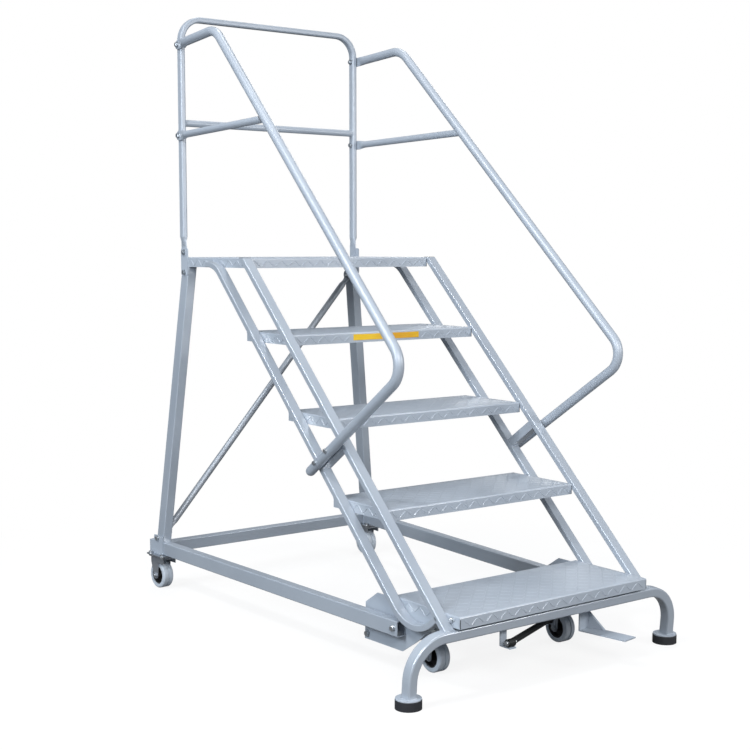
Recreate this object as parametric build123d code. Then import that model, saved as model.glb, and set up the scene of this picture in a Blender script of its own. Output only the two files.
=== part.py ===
from build123d import *
from math import atan2, cos, degrees, hypot, radians, sin, tan
import os

os.makedirs("parts", exist_ok=True)

# Mobile access platform: four folded treads and a deck on two pairs of sloping
# stringers, a guard hoop, two handrails, a wheeled base and a front bow on two feet.
# Millimetres. +X is the climber's right, +Y is away from the climber, +Z is up and
# the floor is z = 0.

# Driving dimensions of the stair
STEP_RISE = 250.0            # height from one tread to the next
STEP_RUN = 259.4             # depth from one tread's nose to the next
TREAD_COUNT = 4              # treads below the deck
TREAD_WIDTH = 770.0          # along X, also the clear width between the stringers
TREAD_DEPTH = 290.0
BOTTOM_TREAD_DEPTH = 312.0
BOTTOM_TREAD_FORWARD = 76.0  # how far the bottom tread stands forward of the others' line
BOTTOM_TREAD_DROP = 5.0      # and how far below it
TREAD_FLANGE = 35.0          # height of the folded edge
SHEET = 3.0                  # checker plate thickness
FOLD_RADIUS = 5.0
CORNER_SLOT = 2.0            # slot at each folded corner
DECK_DEPTH = 487.0
LABEL = (281.0, 0.8, 20.0)    # blank coloured strip on the top tread's front edge
LABEL_DROP = 7.0             # below that tread's top
NOSE_LINE_Y = -736.3         # nose line of the stair at the bottom tread's height
NOSE_SETBACK = 6.0           # noses stand this far behind the stringers' front faces

# Stringers: rectangular tube
STRINGER_X = 35.0            # tube width along X
STRINGER_T = 20.0            # tube thickness across the slope
STRINGER_R = 3.5             # rounding of the tube's corners
STRINGER_PITCH = 148.0       # front face of the front pair to front face of the rear pair
TAIL_END = 262.0             # rear stringer's level tail ends this far behind the deck's front
TAIL_BEND = 40.0             # centreline radius at the top
HOOK_BEND = 130.0            # centreline radius of the hook under the bottom tread
HOOK_LOW = 172.0             # underside of the hook above the floor
HOOK_RISE = 40.0             # degrees, the hook's last run climbs to the front stringer

# Guard hoop
POST_X = 20.0                # hoop tube across its own plane's width
POST_Y = 30.0
HOOP_R = 80.0                # centreline radius of the two upper corners
HOOP_TOP = 2122.0            # top of the hoop above the floor
HOOP_INSET = 14.0            # hoop centreline behind the deck's rear edge, towards the climber
POST_OVER_EDGE = 1.0         # post's mid-plane inside the deck's side face
FLAT_T = 5.0                 # thickness of a squashed tube end
POST_FLAT_RISE = 40.0        # the post's squashed foot stands this high on the deck
POST_FLAT_W = 34.0
POST_SQUASH = 35.0           # length over which a tube changes from round to flat
MID_RAIL_SHARE = 0.5596      # mid rail's height as a share of the hoop's, both above the deck
BRACE_D = 25.0               # diameter of the mid rail, the side braces and the diagonal

# Handrails: round tube bent in a plane that splays outward towards the climber
HANDRAIL_D = 32.0
HANDRAIL_DROP = 105.0        # bolt at the post below the hoop's top
HANDRAIL_CREST = (1232.0, 24.0)     # corner of the centreline: behind the nose line, above that bolt
HANDRAIL_KNEE = (92.0, 942.0)       # behind the nose line, above the floor
HANDRAIL_TIP = (600.0, 579.0)
CREST_BEND = 60.0
KNEE_BEND = 70.0
SEAT_GAP = 0.3               # between pieces that lie against each other
POST_SEAT_GAP = 1.0          # at the post, where the handrail passes at a slant
BLOCK_T = 30.0               # block that carries the handrail's lower end
BLOCK_BOLTS = (488.0, 553.0)  # behind the nose line
BOSS_D = 22.0
SIDE_BRACE_SHARE = (0.5069, 0.5195)  # of the hoop's height, at the post and at the handrail

# Rear legs, their top brackets and the diagonal
LEG_X = 35.0
LEG_Y = 50.0
LEG_LEAN = 70.0              # the leg's foot stands this far behind its head
BRACKET_T = 4.0
BRACKET_W = 48.0
BRACKET_RISE = 33.0          # above the deck
BRACKET_DROP = 67.0          # below the deck's top
DIAGONAL_LOW = 32.0          # diagonal's lower bolt above the base rail
DIAGONAL_HIGH = 37.0         # diagonal's upper bolt below the deck's folded edge
DIAGONAL_BACK = 8.0          # both bolts behind the middle of the leg's inner side
DIAGONAL_TAB_REACH = 14.0

# Base
RAIL_X = 35.0
RAIL_Z = 48.0
RAIL_WALL = 2.5
RAIL_BOTTOM = 135.0
RAIL_FRONT = 172.0           # open front end behind the nose line
RAIL_REAR = 1640.0
RAIL_SPLAY = {"left": 55.0, "right": 98.0}   # a rail's rear end stands this much further out
CROSS_RAIL_Y = 44.0
CROSS_RAIL_DROP = 7.0        # its top below the side rails' top
CROSS_RAIL_BACK = 25.0       # its middle behind the legs' feet
CORNER_T = 4.0               # plate on the outer side of each rail's rear end
CORNER_FRONT = 1546.0        # behind the nose line
EAR_REAR = 1606.0
EAR_TOP = 206.0
SIDE_PLATE_T = 3.0
# side plate's outline: behind the nose line, above the floor
SIDE_PLATE_CORNERS = ((118.0, 129.0), (189.0, 83.0), (380.0, 79.0), (375.0, 196.0),
                      (315.0, 236.0))
SIDE_PLATE_FRONT = 18.0
SIDE_FLANGE = 40.0           # flange folded inward along the plate's slanted front edge

# Front bow and feet
BOW_Y = 37.0
BOW_Z = 31.0
BOW_R = 6.0
BOW_BOTTOM = 173.0
BOW_BEND = 110.0
BOW_LEG_X = 534.0
BOW_FORWARD = (4.0, 17.0)    # leg's lower end and the bar ahead of the feet's centres
BOW_BACK = -28.0             # feet's centres from the nose line
FOOT_X = 532.0
PAD_D = 78.0
PAD_H = 27.0
DISC_D = 76.0
DISC_H = 4.0

# Wheels
WHEEL_D = 100.0
TYRE_W = 42.0
TYRE_R = 6.0
GROOVE_W = 8.0
GROOVE_DEPTH = 3.0
HUB_D = 70.0
HUB_W = 36.0
HUB_WEB = 10.0
BOSS_W = 46.0
HUB_BOSS_D = 26.0
AXLE_D = 12.0
AXLE_FIT = 0.05              # radial clearance of the hub on its axle
AXLE_HEAD_D = 20.0
AXLE_HEAD_T = 6.0
FORK_T = 3.0
FORK_SIDE_GAP = 1.5          # between the wheel's boss and the fork's cheek
FORK_TIP_R = 14.0
FORK_APRON = 20.0            # height of the fork's sides along its whole crown
FORK_WAIST = 18.0            # front edge of a cheek ahead of the axle
FRONT_FORK_REACH = 25.0      # the fixed fork's crown ahead of and behind the axle
CASTOR_SHIFT = {"left": -7.0, "right": 15.0}   # swivel axis outward from the rail's mid-plane
CASTOR_Y = 1576.0            # swivel axis behind the nose line
CASTOR_TRAIL = 24.0
CASTOR_TURN = {"left": 4.0, "right": -4.0}   # degrees about the swivel axis, from above
CASTOR_FORK_FRONT = 54.0     # crown's front end ahead of the axle
CASTOR_FORK_REAR = 32.0
CASTOR_PLATE = (100.0, 112.0, 4.0)
SWIVEL_GAP = 0.3             # between the fixed plate and the turning crown
RACE_D = 56.0
RACE_H = 12.0
KINGPIN_D = 12.0
KINGPIN_FIT = 0.05
KINGPIN_HEAD_D = 20.0
KINGPIN_HEAD_H = 4.0
FRONT_WHEEL_X = 264.0
FRONT_WHEEL_Y = 183.0
BEAM_Y = 40.0
BEAM_Z = 30.0
FRONT_PLATE_T = 4.0
FRONT_PLATE = (74.0, 60.0)

# Foot lever with its stay
PEDAL_X = 189.0              # middle of the pedal
PEDAL_W = 58.0
PEDAL_T = 4.0
PEDAL_REACH = 169.0
PEDAL_TURN = 10.0            # degrees, the pedal points slightly outward
PEDAL_TOP = 163.0
PEDAL_BOTTOM = 95.0
ARM_W = 40.0
ARM_T = 6.0
WEB_T = 9.0
WEB_RUN = 60.0
WEB_RISE = 50.0
HANGER_X = -184.0            # flat bracket under the bow that holds the stay
HANGER_W = 25.0
HANGER_T = 4.0
HANGER_LOW = 119.0
HANGER_FOOT = 44.0
STAY_D = 20.0
STAY_EYE_D = 24.0
STAY_REAR = (168.0, 142.0, 96.0)   # rear eye: across, behind the nose line, height
LUG_T = 4.0
LUG_W = 32.0

# Worked out from the driving dimensions
DECK_Z = STEP_RISE * (TREAD_COUNT + 1)
HALF_W = TREAD_WIDTH / 2
SLOPE = atan2(STEP_RISE, STEP_RUN)
ALONG = (cos(SLOPE), sin(SLOPE))        # up the stair, in the YZ plane
ACROSS = (sin(SLOPE), -cos(SLOPE))      # from the front stringers towards the rear ones
FACE_0 = (NOSE_LINE_Y - NOSE_SETBACK, STEP_RISE)   # a point of the front face line
STRINGER_MID_X = HALF_W + STRINGER_X / 2
OUTER_X = HALF_W + STRINGER_X
DECK_FRONT = NOSE_LINE_Y + TREAD_COUNT * STEP_RUN
DECK_REAR = DECK_FRONT + DECK_DEPTH
HOOP_Y = DECK_REAR - HOOP_INSET
POST_MID_X = HALF_W - POST_OVER_EDGE
HOOP_RISE = HOOP_TOP - DECK_Z
MID_RAIL_Z = DECK_Z + MID_RAIL_SHARE * HOOP_RISE
HANDRAIL_TOP_Z = HOOP_TOP - HANDRAIL_DROP
CREST = (HANDRAIL_CREST[0], HANDRAIL_TOP_Z + HANDRAIL_CREST[1])
SIDE_BRACE_Z = tuple(DECK_Z + share * HOOP_RISE for share in SIDE_BRACE_SHARE)
RAIL_TOP = RAIL_BOTTOM + RAIL_Z
BOW_TOP = BOW_BOTTOM + BOW_Z
FOOT_Y = NOSE_LINE_Y + BOW_BACK
LEG_HEAD_Z = DECK_Z - TREAD_FLANGE
LEG_HEAD_X = HALF_W - LEG_X / 2
LEG_HEAD_Y = DECK_REAR - LEG_Y / 2
LEG_FOOT_Y = LEG_HEAD_Y + LEG_LEAN
WHEEL_R = WHEEL_D / 2
CHEEK_IN = BOSS_W / 2 + FORK_SIDE_GAP
CHEEK_OUT = CHEEK_IN + FORK_T
HANDRAIL_R = HANDRAIL_D / 2
HANDRAIL_HEAD_X = POST_MID_X + POST_X / 2 + FLAT_T / 2 + POST_SEAT_GAP
HANDRAIL_SPLAY = ((OUTER_X + HANDRAIL_R + SEAT_GAP - HANDRAIL_HEAD_X)
                  / (HOOP_Y - NOSE_LINE_Y - HANDRAIL_TIP[0]))

SIDES = (("left", -1), ("right", 1))

nodes = {}


# Helpers

def back(y):
    """Y in the part's frame of a place y behind the nose line."""
    return NOSE_LINE_Y + y


def off_face(point, distance):
    """A point of the YZ plane moved across the slope."""
    return (point[0] + ACROSS[0] * distance, point[1] + ACROSS[1] * distance)


def face_distance(point):
    """Distance of a YZ point behind the front stringers' front face."""
    return (point[0] - FACE_0[0]) * ACROSS[0] + (point[1] - FACE_0[1]) * ACROSS[1]


def slope_plane(distance):
    """Plane parallel to the front stringers' front face, with its normal to the rear."""
    y, z = off_face(FACE_0, distance)
    return Plane(origin=(0, y, z), x_dir=(1, 0, 0), z_dir=(0, ACROSS[0], ACROSS[1]))


def profile_yz(points, x_from, x_to):
    """A plate with an outline in the YZ plane, between two X places."""
    face = Plane.YZ.offset(x_from) * make_face(Polyline(*points, close=True))
    return extrude(face, amount=x_to - x_from)


def bar_along(path, width, thickness, radius, across=(1, 0, 0)):
    """Rectangular tube of rounded section swept along a path."""
    start = Plane(origin=path @ 0, x_dir=across, z_dir=path % 0)
    return sweep(start * RectangleRounded(width, thickness, radius), path=path)


def rod_along(path, diameter):
    """Round tube swept along a path."""
    start = Plane(origin=path @ 0, z_dir=path % 0)
    return sweep(start * Circle(diameter / 2), path=path)


def both_sides(part):
    """A right-hand piece and its mirror image, as two solids of one node."""
    return Compound(children=[part, mirror(part, about=Plane.YZ)])


def flat_end(diameter, tab_t, tab_w, reach, squash):
    """Squashed end of a round tube: tab from z = 0 up, then the change to round.
    The tab's flat faces look along X and its round nose is centred on z = 0."""
    nose = Plane.YZ.offset(-tab_t / 2) * Circle(tab_w / 2)
    tab = extrude(nose, amount=tab_t) + Pos(0, 0, reach / 2) * Box(tab_t, tab_w, reach)
    low = Plane.XY.offset(reach) * Rectangle(tab_t, tab_w)
    high = Plane.XY.offset(reach + squash) * Circle(diameter / 2)
    return tab + loft([low.face(), high.face()])


def flat_ended_tube(start, end, diameter, normal, tab_t, tab_w, reach, squash, flat_both=True):
    """Straight round tube with squashed, bolted ends; the tabs' faces look along normal."""
    length = (Vector(*end) - Vector(*start)).length
    body_from = reach + squash
    body_to = length - body_from if flat_both else length
    body = Pos(0, 0, (body_from + body_to) / 2) * Cylinder(diameter / 2, body_to - body_from)
    tube = flat_end(diameter, tab_t, tab_w, reach, squash) + body
    if flat_both:
        far = Pos(0, 0, length) * Rot(180, 0, 0)
        tube += far * flat_end(diameter, tab_t, tab_w, reach, squash)
    place = Plane(origin=start, x_dir=normal, z_dir=Vector(*end) - Vector(*start))
    return place.location * tube


# Folded treads and deck

def folded_sheet(width, depth, flange, front_y, top_z):
    """Checker plate panel: a flat sheet with its four edges folded down."""
    middle = (0, front_y + depth / 2, top_z - flange / 2)
    panel = Pos(*middle) * Box(width, depth, flange)
    panel = fillet(panel.faces().sort_by(Axis.Z)[-1].edges(), FOLD_RADIUS)
    inside = Pos(middle[0], middle[1], middle[2] - SHEET) * Box(
        width - 2 * SHEET, depth - 2 * SHEET, flange)
    panel -= inside
    slot_h = flange - FOLD_RADIUS - SHEET
    for sx in (-1, 1):
        for sy in (-1, 1):
            corner = (sx * width / 2, middle[1] + sy * depth / 2, top_z - flange + slot_h / 2)
            panel -= Pos(*corner) * Box(2 * CORNER_SLOT, 2 * CORNER_SLOT, slot_h)
    return panel


for number in range(1, TREAD_COUNT + 1):
    bottom = number == 1
    depth = BOTTOM_TREAD_DEPTH if bottom else TREAD_DEPTH
    nose = back((number - 1) * STEP_RUN) - (BOTTOM_TREAD_FORWARD if bottom else 0)
    nodes[f"tread_{number}"] = folded_sheet(
        TREAD_WIDTH, depth, TREAD_FLANGE, nose, STEP_RISE * number - (BOTTOM_TREAD_DROP if bottom else 0))

label_y = back((TREAD_COUNT - 1) * STEP_RUN) - LABEL[1] / 2
label_z = STEP_RISE * TREAD_COUNT - LABEL_DROP - LABEL[2] / 2
nodes["label_strip"] = Pos(0, label_y, label_z) * Box(*LABEL)
nodes["platform_deck"] = folded_sheet(TREAD_WIDTH, DECK_DEPTH, TREAD_FLANGE, DECK_FRONT, DECK_Z)


# Front bow on its two feet

bow_leg_z = PAD_H + DISC_H
bow_leg_y, bow_bar_y = (FOOT_Y - forward for forward in BOW_FORWARD)
bow_mid_z = BOW_BOTTOM + BOW_Z / 2
bow_path = FilletPolyline(
    (-BOW_LEG_X, bow_leg_y, bow_leg_z - DISC_H), (-BOW_LEG_X, bow_bar_y, bow_mid_z),
    (BOW_LEG_X, bow_bar_y, bow_mid_z), (BOW_LEG_X, bow_leg_y, bow_leg_z - DISC_H),
    radius=BOW_BEND)
front_bow = bar_along(bow_path, BOW_Y, BOW_Z, BOW_R, across=(0, 1, 0))
front_bow = split(front_bow, bisect_by=Plane.XY.offset(bow_leg_z), keep=Keep.TOP)
nodes["front_bow"] = front_bow

disc = Pos(FOOT_X, FOOT_Y, PAD_H + DISC_H / 2) * Cylinder(DISC_D / 2, DISC_H)
disc = fillet(disc.edges().group_by(Axis.Z)[-1], DISC_H / 3)
nodes["foot_discs"] = both_sides(disc)
pad = Pos(FOOT_X, FOOT_Y, PAD_H / 2) * Cylinder(PAD_D / 2, PAD_H)
pad = fillet(pad.edges().group_by(Axis.Z)[-1], DISC_H / 2)
nodes["foot_pads"] = both_sides(pad)


# Front stringers: straight, cut level at the deck and seated on the bow

low_z = BOW_TOP - BOW_R / 4
seat = off_face(FACE_0, STRINGER_T / 2)


def on_slope(point, z):
    """The place at height z on the slope line through a YZ point."""
    return (point[0] + (z - point[1]) * STEP_RUN / STEP_RISE, z)


spare = 2 * STRINGER_T
line_low = on_slope(seat, low_z - spare)
line_high = on_slope(seat, DECK_Z + spare)
front_line = Line((STRINGER_MID_X, *line_low), (STRINGER_MID_X, *line_high))
stringer = bar_along(front_line, STRINGER_X, STRINGER_T, STRINGER_R)
stringer = split(stringer, bisect_by=Plane.XY.offset(DECK_Z), keep=Keep.BOTTOM)
stringer = split(stringer, bisect_by=Plane.XY.offset(low_z), keep=Keep.TOP)
stringer -= front_bow
nodes["stringer_front_right"] = stringer
nodes["stringer_front_left"] = mirror(stringer, about=Plane.YZ)


# Rear stringers: level tail, slope and a hook that meets the front stringer

rear_mid = off_face(FACE_0, STRINGER_PITCH + STRINGER_T / 2)
tail_z = DECK_Z - STRINGER_T / 2
hook_z = HOOK_LOW + STRINGER_T / 2 + HOOK_BEND
hook_y = on_slope(rear_mid, hook_z)[0] - HOOK_BEND / sin(SLOPE)
hook_start = (hook_y + HOOK_BEND * sin(SLOPE), hook_z - HOOK_BEND * cos(SLOPE))
tangent_run = HOOK_BEND * tan((SLOPE + radians(HOOK_RISE)) / 2)
hook_corner = (hook_start[0] - tangent_run * ALONG[0], hook_start[1] - tangent_run * ALONG[1])
hook_dir = (-cos(radians(HOOK_RISE)), sin(radians(HOOK_RISE)))
hook_pace = -(hook_dir[0] * ACROSS[0] + hook_dir[1] * ACROSS[1])
hook_run = (face_distance(hook_corner) - STRINGER_T / 2) / hook_pace
hook_end = (hook_corner[0] + hook_run * hook_dir[0], hook_corner[1] + hook_run * hook_dir[1])
rear_path = FilletPolyline(
    (STRINGER_MID_X, DECK_FRONT + TAIL_END, tail_z),
    (STRINGER_MID_X, *on_slope(rear_mid, tail_z)),
    (STRINGER_MID_X, *hook_corner), (STRINGER_MID_X, *hook_end),
    radius=(TAIL_BEND, HOOK_BEND))
rear_stringer = bar_along(rear_path, STRINGER_X, STRINGER_T, STRINGER_R)
rear_stringer = split(rear_stringer, bisect_by=slope_plane(STRINGER_T), keep=Keep.TOP)
nodes["stringer_rear_right"] = rear_stringer
nodes["stringer_rear_left"] = mirror(rear_stringer, about=Plane.YZ)


# Guard hoop with squashed feet, and its mid rail

hoop_mid_z = HOOP_TOP - POST_X / 2
foot_z = DECK_Z + POST_FLAT_RISE + POST_SQUASH
hoop_path = FilletPolyline(
    (-POST_MID_X, HOOP_Y, foot_z), (-POST_MID_X, HOOP_Y, hoop_mid_z),
    (POST_MID_X, HOOP_Y, hoop_mid_z), (POST_MID_X, HOOP_Y, foot_z), radius=HOOP_R)
guard_hoop = bar_along(hoop_path, POST_Y, POST_X, POST_X / 3, across=(0, 1, 0))
flat_x = HALF_W - FLAT_T / 2
flat_top = DECK_Z + POST_FLAT_RISE
for side in (-1, 1):
    low = Plane((side * flat_x, HOOP_Y, flat_top)) * Rectangle(FLAT_T, POST_FLAT_W)
    high = Plane((side * POST_MID_X, HOOP_Y, foot_z)) * RectangleRounded(
        POST_X, POST_Y, POST_X / 3)
    guard_hoop += loft([low.face(), high.face()])
    guard_hoop += Pos(side * flat_x, HOOP_Y, DECK_Z + POST_FLAT_RISE / 2) * Box(
        FLAT_T, POST_FLAT_W, POST_FLAT_RISE)
nodes["guard_hoop"] = guard_hoop

mid_rail_half = POST_MID_X - POST_X / 2
nodes["hoop_mid_rail"] = Pos(0, HOOP_Y, MID_RAIL_Z) * Rot(0, 90, 0) * Cylinder(
    BRACE_D / 2, 2 * mid_rail_half)


# Brackets that tie each post and rear leg to the deck

bracket_z = DECK_Z + (BRACKET_RISE - BRACKET_DROP) / 2
bracket = Pos(HALF_W + BRACKET_T / 2, DECK_REAR - BRACKET_W / 2, bracket_z) * Box(
    BRACKET_T, BRACKET_W, BRACKET_RISE + BRACKET_DROP)
bracket = fillet(bracket.edges().filter_by(Axis.X), BRACKET_W / 6)
nodes["post_brackets"] = both_sides(bracket)


# Base rails: hollow, open at the front, spread towards the rear

def rail_x(y, word):
    """Distance of a base rail's mid-plane from the middle, y behind the nose line."""
    return STRINGER_MID_X + RAIL_SPLAY[word] * (y - RAIL_FRONT) / (RAIL_REAR - RAIL_FRONT)


def rail_turn(word):
    """Angle between a base rail and the Y axis, in degrees."""
    return degrees(atan2(RAIL_SPLAY[word], RAIL_REAR - RAIL_FRONT))


rail_mid_z = RAIL_BOTTOM + RAIL_Z / 2
rail_outers = {}
rail_planes = {}
for word, side in SIDES:
    start = Vector(side * rail_x(RAIL_FRONT, word), back(RAIL_FRONT), rail_mid_z)
    end = Vector(side * rail_x(RAIL_REAR, word), back(RAIL_REAR), rail_mid_z)
    length = (end - start).length
    across = Plane(origin=start, x_dir=(0, 0, 1), z_dir=end - start)
    outline = RectangleRounded(RAIL_Z, RAIL_X, RAIL_WALL * 1.5)
    bore = RectangleRounded(RAIL_Z - 2 * RAIL_WALL, RAIL_X - 2 * RAIL_WALL, RAIL_WALL)
    outer = extrude(across * outline, amount=length)
    nodes[f"base_rail_{word}"] = outer - extrude(across * bore, amount=length - RAIL_WALL)
    rail_outers[word] = outer
    to_side = (end - start).cross(Vector(0, 0, 1)).normalized()
    rail_planes[word] = Plane(origin=start + to_side * (side * RAIL_X / 2),
                              x_dir=end - start, z_dir=to_side)

cross_y = LEG_FOOT_Y + CROSS_RAIL_BACK
cross_left = -rail_x(cross_y - NOSE_LINE_Y, "left")
cross_right = rail_x(cross_y - NOSE_LINE_Y, "right")
cross_h = RAIL_Z - CROSS_RAIL_DROP
cross_rail = Pos((cross_left + cross_right) / 2, cross_y, RAIL_BOTTOM + cross_h / 2) * Box(
    cross_right - cross_left, CROSS_RAIL_Y, cross_h)
cross_rail = fillet(cross_rail.edges().filter_by(Axis.X), RAIL_WALL)
nodes["base_cross_rail"] = cross_rail - rail_outers["left"] - rail_outers["right"]


# Rear legs: from the base rail up to the deck's folded edge

legs = {}
leg_lines = {}
for word, side in SIDES:
    foot = Vector(side * rail_x(LEG_FOOT_Y - NOSE_LINE_Y, word), LEG_FOOT_Y, RAIL_TOP)
    top_end = Vector(side * LEG_HEAD_X, LEG_HEAD_Y, LEG_HEAD_Z)
    section = Plane(foot) * RectangleRounded(LEG_X, LEG_Y, STRINGER_R)
    leg = extrude(section, amount=(top_end - foot).length, dir=(top_end - foot).normalized())
    landing = Pos(side * (HALF_W + LEG_X / 2), LEG_HEAD_Y, DECK_Z) * Box(
        LEG_X, 2 * LEG_Y, 2 * BRACKET_DROP)
    legs[word] = leg - landing
    leg_lines[word] = (foot, top_end - foot)
    nodes[f"rear_leg_{word}"] = legs[word]


# Corner plates: outside each rail's rear end, with an ear bolted to the leg

corner_plates = []
for word, side in SIDES:
    corner = Polyline(
        (CORNER_FRONT - RAIL_FRONT, -RAIL_Z / 2), (RAIL_REAR - RAIL_FRONT, -RAIL_Z / 2),
        (RAIL_REAR - RAIL_FRONT, RAIL_Z / 2), (EAR_REAR + CORNER_T - RAIL_FRONT, RAIL_Z / 2),
        (EAR_REAR - RAIL_FRONT, EAR_TOP - rail_mid_z),
        (CORNER_FRONT - RAIL_FRONT, EAR_TOP - rail_mid_z), close=True)
    plate = extrude(rail_planes[word] * make_face(corner), amount=side * CORNER_T)
    corner_plates.append(plate - legs[word])
nodes["corner_plates"] = Compound(children=corner_plates)


# Diagonal: both ends squashed, bent and bolted to the legs' inner sides

def bent_tab(place, along, tube_at, tube_dir):
    """From a round-nosed tab on a plane (x across the tab's thickness) to the round tube."""
    blade = extrude(Plane.YZ.offset(-FLAT_T / 2) * Circle(POST_FLAT_W / 2), amount=FLAT_T)
    blade += Pos(0, 0, DIAGONAL_TAB_REACH / 2) * Box(FLAT_T, POST_FLAT_W, DIAGONAL_TAB_REACH)
    flat = Plane(origin=place, x_dir=along.cross(Vector(0, 1, 0)), z_dir=along)
    low = flat.offset(DIAGONAL_TAB_REACH) * Rectangle(FLAT_T, POST_FLAT_W)
    high = Plane(origin=tube_at, x_dir=flat.x_dir, z_dir=tube_dir) * Circle(BRACE_D / 2)
    return flat.location * blade + loft([low.face(), high.face()])


bolts = []
for (word, side), z in zip(SIDES, (RAIL_TOP + DIAGONAL_LOW, LEG_HEAD_Z - DIAGONAL_HIGH)):
    foot, run = leg_lines[word]
    at = foot + run * ((z - foot.Z) / run.Z)
    inner = at + Vector(-side * (LEG_X / 2 + FLAT_T / 2 + SEAT_GAP), DIAGONAL_BACK, 0)
    bolts.append((inner, run.normalized() * -side))
(low_bolt, low_along), (high_bolt, high_along) = bolts
low_bend = low_bolt + low_along * DIAGONAL_TAB_REACH
high_bend = high_bolt + high_along * DIAGONAL_TAB_REACH
tube_dir = (high_bend - low_bend).normalized()
tube_low = low_bend + tube_dir * POST_SQUASH
tube_high = high_bend - tube_dir * POST_SQUASH
diagonal = rod_along(Line(tube_low, tube_high), BRACE_D)
diagonal += bent_tab(low_bolt, low_along, tube_low, tube_dir)
diagonal += bent_tab(high_bolt, high_along, tube_high, -tube_dir)
nodes["rear_diagonal"] = diagonal


# Handrails

def rail_point(y, z, side=1):
    """A point of the handrail's plane, y behind the nose line."""
    x = HANDRAIL_HEAD_X + HANDRAIL_SPLAY * (HOOP_Y - NOSE_LINE_Y - y)
    return (side * x, back(y), z)


post_y = HOOP_Y - NOSE_LINE_Y
head = Vector(*rail_point(post_y, HANDRAIL_TOP_Z))
crest = Vector(*rail_point(*CREST))
to_crest = (crest - head).normalized()
tab_reach = POST_Y * 0.8
tube_from = head + to_crest * (tab_reach + POST_SQUASH)
handrail_path = FilletPolyline(tube_from, crest, rail_point(*HANDRAIL_KNEE),
                               rail_point(*HANDRAIL_TIP), radius=(CREST_BEND, KNEE_BEND))
handrail_tube = rod_along(handrail_path, HANDRAIL_D)
tip = Vector(*rail_point(*HANDRAIL_TIP))
handrail = handrail_tube + Pos(tip) * Sphere(HANDRAIL_R)
head_plane = Plane(origin=head, x_dir=(1, 0, 0), z_dir=to_crest)
handrail += head_plane.location * flat_end(
    HANDRAIL_D, FLAT_T, POST_FLAT_W, tab_reach, POST_SQUASH)
nodes["handrail_right"] = handrail
nodes["handrail_left"] = mirror(handrail, about=Plane.YZ)


# Blocks between the stringers that carry the handrails' lower ends

knee_y, knee_z = HANDRAIL_KNEE
tip_y, tip_z = HANDRAIL_TIP
fall = hypot(tip_y - knee_y, tip_z - knee_z)
fall_dir = ((tip_y - knee_y) / fall, (tip_z - knee_z) / fall)
fall_side = (-fall_dir[1], fall_dir[0])
line_0 = (back(knee_y), knee_z)


def block_corner(lift, distance):
    """Where a line beside the handrail's lower run meets a plane across the slope."""
    y = line_0[0] + fall_side[0] * lift
    z = line_0[1] + fall_side[1] * lift
    run = fall_dir[0] * ACROSS[0] + fall_dir[1] * ACROSS[1]
    t = (distance - face_distance((y, z))) / run
    return (y + fall_dir[0] * t, z + fall_dir[1] * t)


half_t = BLOCK_T / 2
block = profile_yz((block_corner(-half_t, STRINGER_T), block_corner(-half_t, STRINGER_PITCH),
                    block_corner(half_t, STRINGER_PITCH), block_corner(half_t, STRINGER_T)),
                   HALF_W, OUTER_X)
for bolt_y in BLOCK_BOLTS:
    bolt_z = knee_z + (bolt_y - knee_y) * fall_dir[1] / fall_dir[0]
    bolt_x = rail_point(bolt_y, bolt_z)[0]
    boss = extrude(Plane.YZ.offset(OUTER_X) * Pos(back(bolt_y), bolt_z) * Circle(BOSS_D / 2),
                   amount=bolt_x - OUTER_X)
    block += boss
block -= handrail_tube
nodes["handrail_blocks"] = both_sides(block)


# Side braces from the posts to the handrails

brace_post = rail_point(post_y, SIDE_BRACE_Z[0])
crest_y, crest_z = CREST
brace_y = knee_y + (SIDE_BRACE_Z[1] - knee_z) * (crest_y - knee_y) / (crest_z - knee_z)
brace_rail = rail_point(brace_y, SIDE_BRACE_Z[1])
side_brace = flat_ended_tube(brace_post, brace_rail, BRACE_D, (1, 0, 0), FLAT_T, POST_FLAT_W,
                             tab_reach, POST_SQUASH, flat_both=False)
side_brace -= handrail_tube
nodes["side_braces"] = both_sides(side_brace.solids().sort_by(SortBy.VOLUME)[-1])


# Side plates of the undercarriage, with a flange folded inward

plate_top = STEP_RISE - BOTTOM_TREAD_DROP - TREAD_FLANGE
bottom_tread_rear = back(BOTTOM_TREAD_DEPTH - BOTTOM_TREAD_FORWARD)
toe_y, toe_z = SIDE_PLATE_CORNERS[0]
clear_y = bottom_tread_rear + TREAD_FLANGE / 4
plate_outline = [(back(SIDE_PLATE_FRONT), plate_top)]
plate_outline += [(back(y), z) for y, z in SIDE_PLATE_CORNERS]
plate_outline += [(clear_y, SIDE_PLATE_CORNERS[-1][1]), (clear_y, plate_top)]
side_plate = profile_yz(plate_outline, HALF_W - SIDE_PLATE_T, HALF_W)
toe = Vector(0, back(toe_y), toe_z)
top = Vector(0, back(SIDE_PLATE_FRONT), plate_top)
edge = top - toe
inward = Vector(0, edge.Z, -edge.Y).normalized() * SIDE_PLATE_T
flange_low = toe + edge * 0.08
flange_high = toe + edge * 0.92
flange = profile_yz(((flange_low.Y, flange_low.Z), (flange_high.Y, flange_high.Z),
                     (flange_high.Y + inward.Y, flange_high.Z + inward.Z),
                     (flange_low.Y + inward.Y, flange_low.Z + inward.Z)),
                    HALF_W - SIDE_FLANGE, HALF_W)
nodes["side_plates"] = both_sides(side_plate + flange)


# Wheels: a black hub in a grooved tyre, centred on the origin with the axle along X

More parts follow.
